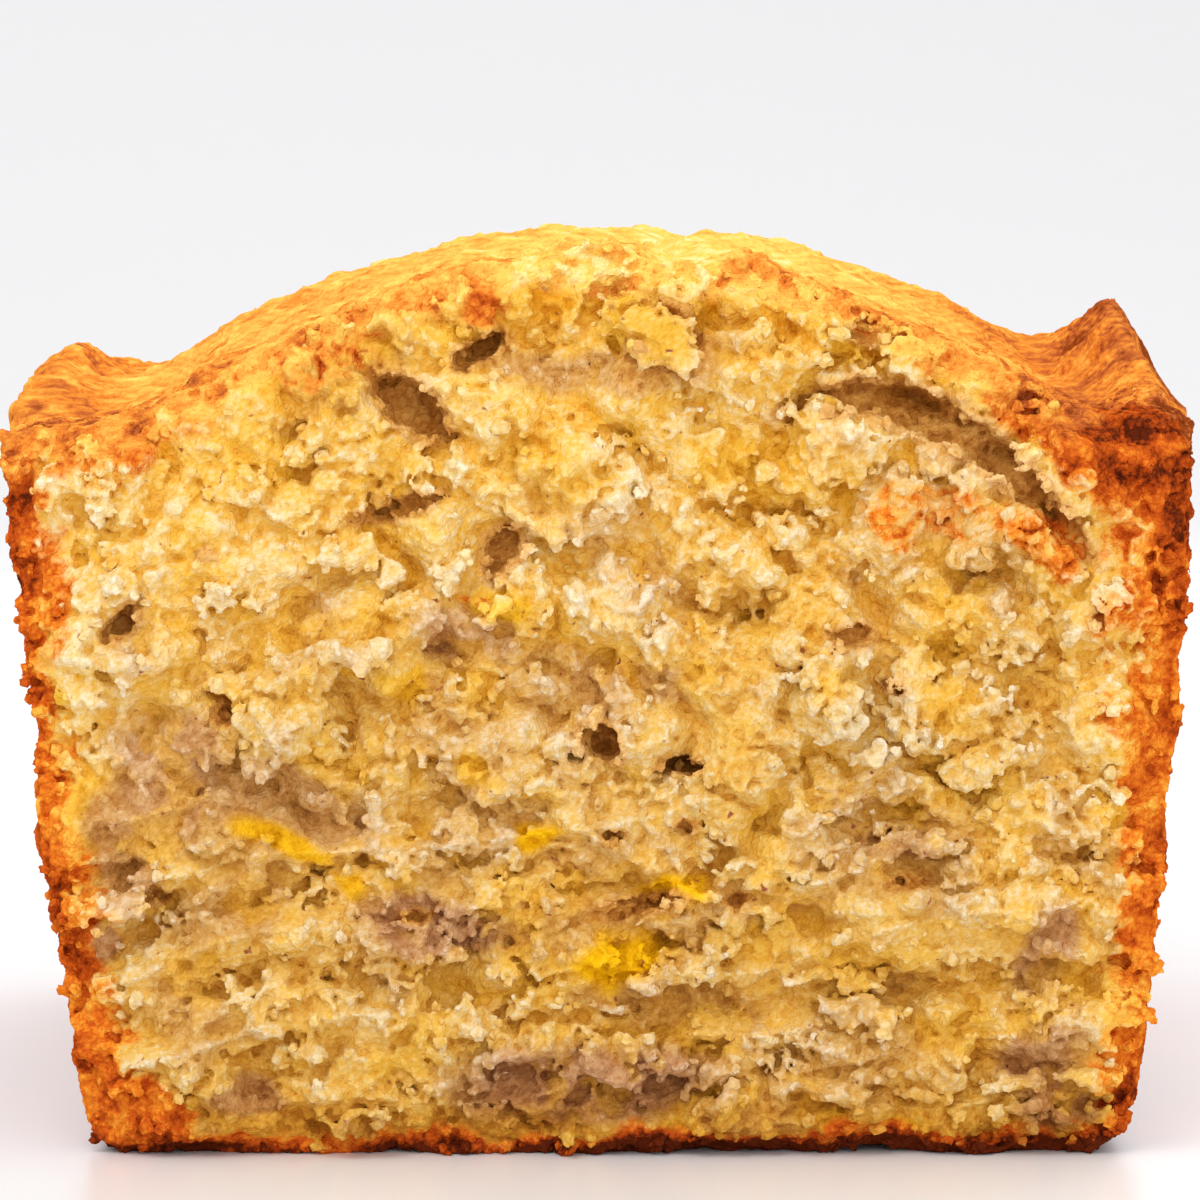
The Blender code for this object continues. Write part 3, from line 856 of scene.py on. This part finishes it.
def browning(points, under_crust):
    """1 at the skin, falling to 0 at the inner edge of the browned band."""
    x, y, z = points.T
    to_wall = half_width(x, z) - np.abs(x)
    to_top = top_height(x, y) - z
    wall_band = by_height(x, z, BAND_HEIGHTS, LEFT_BAND, RIGHT_BAND)
    band = np.where(to_wall < np.minimum(z, to_top) + 2.0, wall_band, BASE_BAND)
    band = np.where(to_top < np.minimum(z, to_wall), np.interp(x, *TOP_BAND), band)
    waver = 1.0 + BAND_WAVER * fractal(points, 5.0, 2, 71)
    return np.clip(1.0 - under_crust / (band * np.maximum(waver, 0.2)), 0.0, 1.0)

# %% All that the colours need at each point
TINT_MOST = 0.35
GOLDEN_REACH = 17.0
# How deep the pale skin of the top reaches: at the sides, more in the middle, most at the cut end
TOP_DEEP = 4.0
TOP_DEEPER_MIDDLE = 4.0
TOP_DEEPER_AT_CUT = 9.0


def colour_measures(points, near, wide, under_crust, painted_hole_shade=None):
    """Measures for the shader; the painted shade of holes is given at the cut end, where fruit
    shows too.
    """
    x, y, z = points.T
    under_top = top_height(x, y) - z
    at_cut = 1.0 - smooth_step(10.0, 22.0, y - CUT_Y)
    middle = 1.0 - smooth_step(24.0, 42.0, np.abs(x))
    crown = smooth_step(-13.0, -3.0, -under_top) * middle
    fleck = fractal(points, 2.4, 2, 90)

    # Tips are pale and hollows take deeper colour as painted shade; the crown and the foot are
    # deeper in colour too, and the crumb grows a little paler higher up
    level = 1.0 - 0.36 * near - 0.66 * wide + 0.12 * fractal(points, 8.0, 3, 81) - 0.27 * crown
    level += 0.12 * smooth_step(15.0, 62.0, z) - 0.42 * (1.0 - smooth_step(2.0, 8.0, z))
    # Crumb turns golden near the crust, high up and at the crown
    golden = 0.9 * (1.0 - smooth_step(3.0, GOLDEN_REACH, under_crust)) * smooth_step(4.0, 30.0, z)
    golden = np.maximum(golden, np.maximum(0.75 * smooth_step(40.0, 66.0, z), crown))
    mauve = TINT_MOST * np.clip(3.0 * fractal(points, 9.0, 3, 84) - 0.5, 0.0, 1.0)
    yellow = TINT_MOST * np.clip(3.0 * fractal(points, 5.0, 3, 87) - 0.6, 0.0, 1.0)

    # The tin browned the walls and the base, and dry air the top
    brown = browning(points, under_crust)
    below_skin = under_top - 0.5 - TOP_DEEPER_AT_CUT * middle * at_cut
    topside = 1.0 - smooth_step(0.0, 1.0, below_skin / (TOP_DEEP + TOP_DEEPER_MIDDLE * middle))
    split = split_opening(x, y) * topside
    charred = 0.0
    if painted_hole_shade is not None:
        mauve = np.maximum(mauve, torn_patches(points, MAUVE_FLESH_AND_CROWN_SHADE, 51))
        yellow = np.maximum(yellow, torn_patches(points, YELLOW_FLESH, 61))
        scorched = torn_patches(points, SCORCHED, 94)
        brown = np.maximum(brown, scorched)
        charred = np.clip(2.5 * scorched - 1.5, 0.0, 1.0)
        topside = topside * (1.0 - np.clip(2.5 * scorched, 0.0, 1.0))
    crust = 3.2 * brown + 0.7 * fleck + 2.0 * (near - 0.45) - 0.3
    crust = np.clip(crust, 0.0, 1.0) * smooth_step(0.0, 0.2, brown)

    # How dark the crust is: the top darkens towards its sides and rim, less on the left, where the
    # lighter top is painted sheen; the walls darken near the rim and the foot; hollows are darker
    # and tips paler as painted shade; and everywhere flecks and soft patches differ
    # Weaker on the left: the lighter left of the top is a painted sheen, where the top crust
    # catches light at a grazing angle
    aside = smooth_step(16.0, 46.0, np.abs(x)) * np.where(x < 0.0, 0.35, 0.75)
    rim = bell(rim_distance(x, y) - 2.0, 16.0) * topside
    baked = 0.1 + 0.6 * brown - 0.37 * topside * brown * (1.0 - aside)
    baked += np.where(x < 0.0, 0.16, 0.26) * rim - 0.18 * split + 0.06 * charred
    baked += 0.1 * brown * smooth_step(45.0, 60.0, z) * (1.0 - topside)
    baked += 0.6 * brown * (1.0 - smooth_step(0.5, 3.5, z))
    baked += by_height(x, z, TONE_HEIGHTS, LEFT_TONE, RIGHT_TONE) * (1.0 - topside)
    # Painted shade: crust in hollows is darker and on tips paler
    baked += 0.5 * (near - 0.5) + 0.4 * (wide - 0.5)
    baked += (0.16 + 0.09 * at_cut) * fleck + 0.12 * fractal(points, 20.0, 2, 97)
    if painted_hole_shade is None:
        painted_hole_shade = np.zeros(len(points))
    else:
        baked += 0.14 * topside * smooth_step(4.0, 20.0, np.abs(x))
    return {"level": level, "golden": golden, "mauve": mauve, "yellow": yellow,
            "painted_hole_shade": painted_hole_shade, "crust": crust, "baked": baked, "topside": topside}


painted_hole_shade = sampled(painted_hole_shade, crumb_axes, points)
measures = colour_measures(points, near_cut, wide_cut, under_cut_crust, painted_hole_shade)
tell("colour measures")

# %% The crumb in bands, each small enough for one piece
BANDS = 7
from_below = np.argsort(points[quads[:, 0], 2], kind="stable")
crumb_pieces = [new_piece(f"crumb_band_{number}", points, quads[band], measures, False)
                for number, band in enumerate(np.array_split(from_below, BANDS), 1)]

# %% [markdown]
# ## The crust
# Behind the cut the loaf is skin: walls that took the tin's shape, a baked end, and a top that
# dried, wrinkled and split along the crown. The same field idea makes it on a coarser grid. The
# skin gets soft waves, pores where steam left, and granular crumb in the split. The base stays flat
# where it lay on the tin.

# %% The grid of the whole loaf behind the cut
BODY_STEP = 0.58
BODY_START = SEAM_Y - SEAM_OVERLAP
# size and depth of the pores, and how much stronger than usual noise must be for one
PORE_SIZES = ((2.6, 1.1), (1.5, 0.8))
PORE_RARE = 1.5
# lump sizes of the granular crumb in the crack, and the share of each
SPLIT_SCALES = ((3.2, 0.7), (1.4, 0.5))
body_axes = grid_axes(BODY_START - 2.0 * BODY_STEP, 0.5 * LOAF_LENGTH + SIDE_ROOM, BODY_STEP)
plan_x, plan_y = np.meshgrid(body_axes[0], body_axes[1], indexing="ij")
split = split_opening(plan_x, plan_y).astype(np.float32)[:, :, None]
past_seam = smooth_step(SEAM_Y + 1.0, SEAM_Y + 8.0, body_axes[1])
past_seam = past_seam.astype(np.float32)[None, :, None]
body_skin = skin_depth(body_axes) + spread_noise(body_axes, SKIN_SCALES, 300)
body_field = body_skin + SKIN_GRAIN * grains(body_axes)
body_field += past_seam * split * spread_noise(body_axes, SPLIT_SCALES, 330)
for number, (cell, depth) in enumerate(PORE_SIZES):
    pores = spline_noise(body_axes, (cell, cell, cell), 340 + number)
    body_field -= past_seam * depth * np.clip(pores - PORE_RARE, 0.0, 1.0)
body_field = np.minimum(body_field, body_axes[2].astype(np.float32)[None, None, :])
tell(f"body grid {body_field.shape}")

# %% The body's surface and its measures
body_points, body_quads = surface_nets(body_field, body_axes)
body_quads = body_quads[body_points[body_quads[:, 0], 1] > BODY_START]
near, wide = bread_shares(body_field, body_axes, body_points)
under_crust = sampled(body_skin, body_axes, body_points)
body_measures = colour_measures(body_points, near, wide, under_crust)
tell("body measures")

# %% The body in pieces: base, top, end and the two walls
BASE_THICK = 1.5
TOP_THICK = 6.0
TOP_PARTING = 10.0
x, y, z = body_points[body_quads].mean(axis=1).T
is_base = z < BASE_THICK
is_top = ~is_base & (top_height(x, y) - z < TOP_THICK)
is_end = ~is_base & ~is_top & (y > 0.5 * LOAF_LENGTH - TIN_CORNER_RADIUS)
is_wall = ~is_base & ~is_top & ~is_end
is_front = y < TOP_PARTING
body_pieces = [
    new_piece(name, body_points, body_quads[chosen], body_measures)
    for name, chosen in (("crust_base", is_base), ("crust_end", is_end),
                         ("crust_top_front", is_top & is_front),
                         ("crust_top_back", is_top & ~is_front),
                         ("crust_wall_left", is_wall & (x < 0.0)),
                         ("crust_wall_right", is_wall & (x >= 0.0)))]

# %% [markdown]
# ## Materials
# Colours are written as they look on a screen and turned into light. Crumb is a pale, matt foam:
# its tips look cream, and its hollows are painted honey brown for the shade in them. Towards the
# crust sugars browned, so one material can go from crumb to crust with the depth under the skin.
# Light that enters the crumb could be simulated too, but it takes long, so the colours of tips and
# hollows paint what it does.

# %% Helpers for colours and nodes
MIX_A, MIX_B, MIX_OUT = 6, 7, 2


def colour(code):
    """Linear red, green, blue and alpha for a colour written as on a screen."""
    values = [int(code[i:i + 2], 16) / 255.0 for i in (0, 2, 4)]
    return [v / 12.92 if v < 0.04045 else ((v + 0.055) / 1.055) ** 2.4 for v in values] + [1.0]


def add(tree, kind, inputs=None, stops=None, **settings):
    """A node with its settings; inputs hold values, or nodes or sockets to link from."""
    node = tree.nodes.new(kind)
    for key, value in settings.items():
        setattr(node, key, value)
    for key, value in (inputs or {}).items():
        if isinstance(value, bpy.types.Node):
            value = value.outputs[0]
        if isinstance(value, bpy.types.NodeSocket):
            tree.links.new(value, node.inputs[key])
        else:
            node.inputs[key].default_value = value
    for number, (place, code) in enumerate(stops or ()):
        elements = node.color_ramp.elements
        element = elements[number] if number < len(elements) else elements.new(place)
        element.position = place
        element.color = colour(code)
    return node

# %% The bread material
# For crumb and fruit, colours from hollows, 0, deeper as painted shade, to tips, 1; for crust, from
# pale, 0, to dark, 1
RAMPS = {
    "crumb": ((0.0, "b27322"), (0.25, "cd9536"), (0.45, "d8a84c"), (0.62, "dcb566"),
              (0.8, "e0c898"), (1.0, "e5d6ba")),
    "golden": ((0.0, "cc8414"), (0.3, "dc9e2a"), (0.55, "e6b64c"), (0.8, "e9ce92"),
               (1.0, "ecdebc")),
    "mauve": ((0.0, "804a26"), (0.35, "a87244"), (0.65, "c29468"), (1.0, "e0c2a0")),
    "yellow": ((0.0, "b88208"), (0.4, "dca40e"), (0.8, "f0bb14"), (1.0, "f6cc3c")),
    # The brown of the painted shade in and round holes
    "painted_hole_shade": ((0.0, "824812"), (0.35, "b2742e"), (0.65, "d29c4e"), (1.0, "e6be80")),
    "crust": ((0.0, "f6bc4c"), (0.3, "e88828"), (0.55, "ce601c"), (0.8, "a64214"),
              (1.0, "5e2410")),
    # The top crust is golden, and the pale end of its colours is lighter as painted sheen
    "topside": ((0.0, "fae09a"), (0.22, "f6cb60"), (0.44, "f0ae4c"), (0.64, "e48832"),
                (0.84, "b8602e"), (1.0, "8c4018")),
}
# Fibres and seeds of the banana are sparse dark red specks, where their noise is strongest
FIBRE_COLOUR = "98543a"
FIBRE_FROM = 0.72
FIBRE_FULL = 0.8
# What covers what, in this order, each as far as its own measure says
LAYERS = (("crumb", "golden"), ("crumb", "mauve"), ("crumb", "yellow"), ("crumb", "painted_hole_shade"),
          ("crumb", "fibre"), ("crust", "topside"), ("crumb", "crust"))
# A sum's name, what it starts from, and what is added, each times a number or another value.
# The dry top is smoother than the walls, so its specks are weaker; crust is rougher than crumb.
SUMS = (
    ("level", -0.08, ("level", 1.0), ("speck", 0.46), ("grit", -0.28)),
    ("specks", -0.42, ("speck", 0.58), ("grit", 0.3)),
    ("speckled", 1.0, ("topside", -0.55)),
    ("baked", "baked", ("specks", "speckled")),
    ("grains", "speck", ("grit", -0.8)),
    ("rough", 0.6, ("crust", 1.6)),
    ("height", 0.0, ("grains", "rough")),
)
SPECK_SIZE = 0.5
FIBRE_SIZE = 1.1
GRIT_SIZE = 0.75
BUMP_HEIGHT = 0.14


def bread_material(name, measures):
    """Crumb to crust: cream tips, hollows and holes darkened as painted shade, mauve and yellow
    fruit, browned edge.
    """
    material = bpy.data.materials.new(name)
    material.use_nodes = True
    tree = material.node_tree
    tree.nodes.clear()
    known = {measure: add(tree, "ShaderNodeAttribute", attribute_name=measure).outputs["Fac"]
             for measure in measures}
    place = add(tree, "ShaderNodeTexCoord").outputs["Object"]
    for noise, size, detail in (("speck", SPECK_SIZE, 1.5), ("fibre", FIBRE_SIZE, 1.0)):
        known[noise] = add(tree, "ShaderNodeTexNoise",
                           {"Vector": place, "Scale": 1.0 / (size * MM), "Detail": detail,
                            "Roughness": 0.65})
    known["fibre"] = add(tree, "ShaderNodeMapRange", {
        "Value": known["fibre"], "From Min": FIBRE_FROM, "From Max": FIBRE_FULL})
    # Cells like small grains, 0 at their middle and about 0.6 between them
    known["grit"] = add(tree, "ShaderNodeTexVoronoi",
                        {"Vector": place, "Scale": 1.0 / (GRIT_SIZE * MM)})
    for result, start, *terms in SUMS:
        total = known.get(start, start)
        for value, times in terms:
            total = add(tree, "ShaderNodeMath",
                        {0: known[value], 1: known.get(times, times), 2: total},
                        operation="MULTIPLY_ADD")
        known[result] = total
    colours = {"fibre": colour(FIBRE_COLOUR)}
    for ramp, stops in RAMPS.items():
        depth = known["baked" if ramp in ("crust", "topside") else "level"]
        colours[ramp] = add(tree, "ShaderNodeValToRGB", {"Fac": depth}, stops)
    for under, over in LAYERS:
        colours[under] = add(tree, "ShaderNodeMix",
                             {0: known[over], MIX_A: colours[under], MIX_B: colours[over]},
                             data_type="RGBA").outputs[MIX_OUT]
    bump = add(tree, "ShaderNodeBump", {"Height": known["height"], "Strength": 1.0,
                                        "Distance": BUMP_HEIGHT * MM})
    shader = add(tree, "ShaderNodeBsdfPrincipled", {
        "Base Color": colours["crumb"], "Roughness": 0.85, "Specular IOR Level": 0.0,
        "Normal": bump})
    add(tree, "ShaderNodeOutputMaterial", {"Surface": shader})
    tell(f"{name}: {len(tree.nodes)} nodes")
    return material


bread = bread_material("baked crumb and crust", measures)
for piece in crumb_pieces + body_pieces:
    piece.data.materials.append(bread)

# %% [markdown]
# ## Crumbs that cling
# Tearing the loaf left loose crumbs on the cut end, on its rim and along the foot. Each is a grain
# of 80 faces. Five grains are made by pushing a small ball in and out by noise, and a node
# tree sets them on chosen tips of the torn face at random turns and sizes. A grain takes the colour
# measures of the tip that it sits on.

# %% Seats for the crumbs
CRUMB_COUNT = 1300
CRUMB_RADIUS = (0.2, 0.7)
FEW_LARGE_CRUMBS = 2.2
CRUMB_SINK = 0.35
CRUMB_LIFT = 1.4
seat_rng = np.random.default_rng(21)
x, y, z = points.T
shown = y < CUT_Y + 4.0
tips = near_cut < 0.40
at_rim = (under_cut_crust < 3.0) & (near_cut < 0.46)
odds = shown * (tips + 0.6 * at_rim + 2.5 * (at_rim & (z < 5.0)))
odds = odds * np.isin(np.arange(len(points)), quads)
seats = seat_rng.choice(len(points), CRUMB_COUNT, replace=False, p=odds / odds.sum())
chance = seat_rng.random(len(seats)) ** FEW_LARGE_CRUMBS
radius = CRUMB_RADIUS[0] + (CRUMB_RADIUS[1] - CRUMB_RADIUS[0]) * chance
seat_points = points[seats].copy()
seat_points[:, 1] -= (0.5 - CRUMB_SINK) * radius
seat_points[:, 2] = np.maximum(seat_points[:, 2], CRUMB_LIFT * radius)
seat_mesh = bpy.data.meshes.new("crumb seats")
seat_mesh.vertices.add(len(seats))
seat_mesh.vertices.foreach_set("co", (seat_points * MM).astype(np.float32).ravel())
write_measures(seat_mesh, measures, seats)
write_measures(seat_mesh, {"crumb_radius": radius * MM}, slice(None))
tell(f"{len(seats)} seats, radius {radius.min():.2f} to {radius.max():.2f} mm")

# %% The tree that sets the crumbs
CRUMB_KINDS = 5
tree = bpy.data.node_groups.new("crumbs that cling", "GeometryNodeTree")
SOCKETS = (("Seats", "Geometry", "INPUT"), ("Seed", "Int", "INPUT"),
           ("Unevenness", "Float", "INPUT"), ("Stretch", "Float", "INPUT"),
           ("Material", "Material", "INPUT"), ("Crumbs", "Geometry", "OUTPUT"))
socket_names = {}
for label, kind, way in SOCKETS:
    socket = tree.interface.new_socket(label, in_out=way, socket_type="NodeSocket" + kind)
    socket_names[label] = socket.identifier
given = add(tree, "NodeGroupInput").outputs
grains_joined = add(tree, "GeometryNodeJoinGeometry")
for number in range(CRUMB_KINDS):
    ball = add(tree, "GeometryNodeMeshIcoSphere", {"Radius": 1.0, "Subdivisions": 2})
    lumps = add(tree, "ShaderNodeTexNoise", {"W": 5.3 * number, "Scale": 1.5, "Detail": 1.0},
                noise_dimensions="4D")
    push = add(tree, "ShaderNodeMath", {0: lumps, 1: 0.5}, operation="SUBTRACT")
    push = add(tree, "ShaderNodeMath", {0: push, 1: given["Unevenness"]}, operation="MULTIPLY")
    out = add(tree, "ShaderNodeVectorMath",
              {0: add(tree, "GeometryNodeInputNormal"), 3: push}, operation="SCALE")
    pushed = add(tree, "GeometryNodeSetPosition", {"Geometry": ball, "Offset": out})
    kind = add(tree, "GeometryNodeGeometryToInstance", {0: pushed})
    tree.links.new(kind.outputs[0], grains_joined.inputs[0])
choice = add(tree, "FunctionNodeRandomValue", {4: 0, 5: CRUMB_KINDS - 1, 8: given["Seed"]},
             data_type="INT")
turn = add(tree, "FunctionNodeRandomValue",
           {0: (0.0, 0.0, 0.0), 1: (6.28, 6.28, 6.28), 8: given["Seed"]}, data_type="FLOAT_VECTOR")
least = add(tree, "ShaderNodeMath", {0: 1.0, 1: given["Stretch"]}, operation="SUBTRACT")
most = add(tree, "ShaderNodeMath", {0: 1.0, 1: given["Stretch"]}, operation="ADD")
shape = add(tree, "FunctionNodeRandomValue", {0: least, 1: most, 8: given["Seed"]},
            data_type="FLOAT_VECTOR")
size = add(tree, "GeometryNodeInputNamedAttribute", {"Name": "crumb_radius"}, data_type="FLOAT")
sized = add(tree, "ShaderNodeVectorMath", {0: shape, 3: size}, operation="SCALE")
seats_as_points = add(tree, "GeometryNodeMeshToPoints", {"Mesh": given["Seats"]})
spread = add(tree, "GeometryNodeInstanceOnPoints", {
    "Points": seats_as_points, "Instance": grains_joined, "Pick Instance": True,
    "Instance Index": choice.outputs[2], "Rotation": turn, "Scale": sized})
real = add(tree, "GeometryNodeRealizeInstances", {"Geometry": spread})
coated = add(tree, "GeometryNodeSetMaterial", {"Geometry": real, "Material": given["Material"]})
finished = add(tree, "NodeGroupOutput")
tree.links.new(coated.outputs[0], finished.inputs["Crumbs"])
tell(f"crumbs that cling: {len(tree.nodes)} nodes")

# %% The crumbs, baked to a plain mesh
seat_object = placed("crumb seats", seat_mesh)
growing = seat_object.modifiers.new("crumbs", "NODES")
growing.node_group = tree
for label, value in (("Seed", 5), ("Unevenness", 2.2), ("Stretch", 0.3), ("Material", bread)):
    growing[socket_names[label]] = value
bpy.context.view_layer.update()
seen = seat_object.evaluated_get(bpy.context.evaluated_depsgraph_get())
crumb_mesh = bpy.data.meshes.new_from_object(seen)
crumb_mesh.name = "clinging_crumbs"
bpy.data.objects.remove(seat_object)
clinging = placed("clinging_crumbs", crumb_mesh)
tell(f"clinging crumbs: {len(crumb_mesh.polygons)} faces")

# %% [markdown]
# ## The stage
# The loaf was photographed close to white: a pale table, a white backdrop and large soft lights.
# A white world gives that, with three large lamps: one above to the left that brings out the
# relief, one low in front, and one behind that runs along the top crust.

# %% Floor, world, lamps and camera
FRONT = -0.0715
CAMERA_BACK = 0.575
CAMERA_UP = 0.095
AIM_UP = 0.0545
VIEW_ANGLE = 11.44
# The table bends up into its own backdrop, so no horizon shows
SWEEP_BACK = 1.0
SWEEP_RADIUS = 0.5
SWEEP_STEPS = 16
profile = [(-3.0, 0.0)]
for number in range(SWEEP_STEPS + 1):
    angle = 0.5 * math.pi * number / SWEEP_STEPS
    profile.append((SWEEP_BACK + SWEEP_RADIUS * math.sin(angle),
                    SWEEP_RADIUS * (1.0 - math.cos(angle))))
profile.append((SWEEP_BACK + SWEEP_RADIUS, 1.2))
floor_mesh = bpy.data.meshes.new("table")
floor_mesh.from_pydata([(side, y, z) for y, z in profile for side in (-3.0, 3.0)], [],
                       [(2 * n, 2 * n + 1, 2 * n + 3, 2 * n + 2) for n in range(len(profile) - 1)])
floor_mesh.shade_smooth()
floor = placed("table", floor_mesh)
table = bpy.data.materials.new("pale table")
table.use_nodes = True
table_shader = table.node_tree.nodes["Principled BSDF"]
table_shader.inputs["Base Color"].default_value = colour("f1f0f0")
table_shader.inputs["Roughness"].default_value = 0.3
floor_mesh.materials.append(table)

world = bpy.data.worlds.new("white studio")
world.use_nodes = True
backdrop = world.node_tree.nodes["Background"].inputs
backdrop["Color"].default_value = colour("fcfdff")
backdrop["Strength"].default_value = 0.93
bpy.context.scene.world = world
bpy.context.scene.view_settings.view_transform = "Standard"

# name, place, aimed at, size, watts
LAMPS = (
    ("key lamp", (-0.3, -0.6, 0.85), (0.0, -0.07, 0.05), 0.5, 3.3),
    ("front lamp", (0.25, -1.1, 0.35), (0.0, -0.07, 0.04), 0.7, 3.5),
    ("top lamp", (0.25, 0.55, 0.8), (0.0, 0.0, 0.08), 0.6, 3.5),
)
for name, at, aim, size, watts in LAMPS:
    lamp = placed(name, bpy.data.lights.new(name, "AREA"))
    lamp.location = at
    lamp.rotation_euler = (Vector(aim) - Vector(at)).to_track_quat("-Z", "Y").to_euler()
    lamp.data.size = size
    lamp.data.energy = watts

camera = placed("camera", bpy.data.cameras.new("camera"))
camera.location = (0.0, FRONT - CAMERA_BACK, CAMERA_UP)
to_aim = Vector((0.0, FRONT, AIM_UP)) - camera.location
camera.rotation_euler = to_aim.to_track_quat("-Z", "Y").to_euler()
camera.data.angle = math.radians(VIEW_ANGLE)
camera.data.clip_start = 0.01
bpy.context.scene.camera = camera

# %% Attach each piece to the loaf's body, and hide the solid loaf
for piece in crumb_pieces + body_pieces + [clinging]:
    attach(piece, "root")
    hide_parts("loaf")

# %% Finish
bpy.context.view_layer.update()
tell("done")
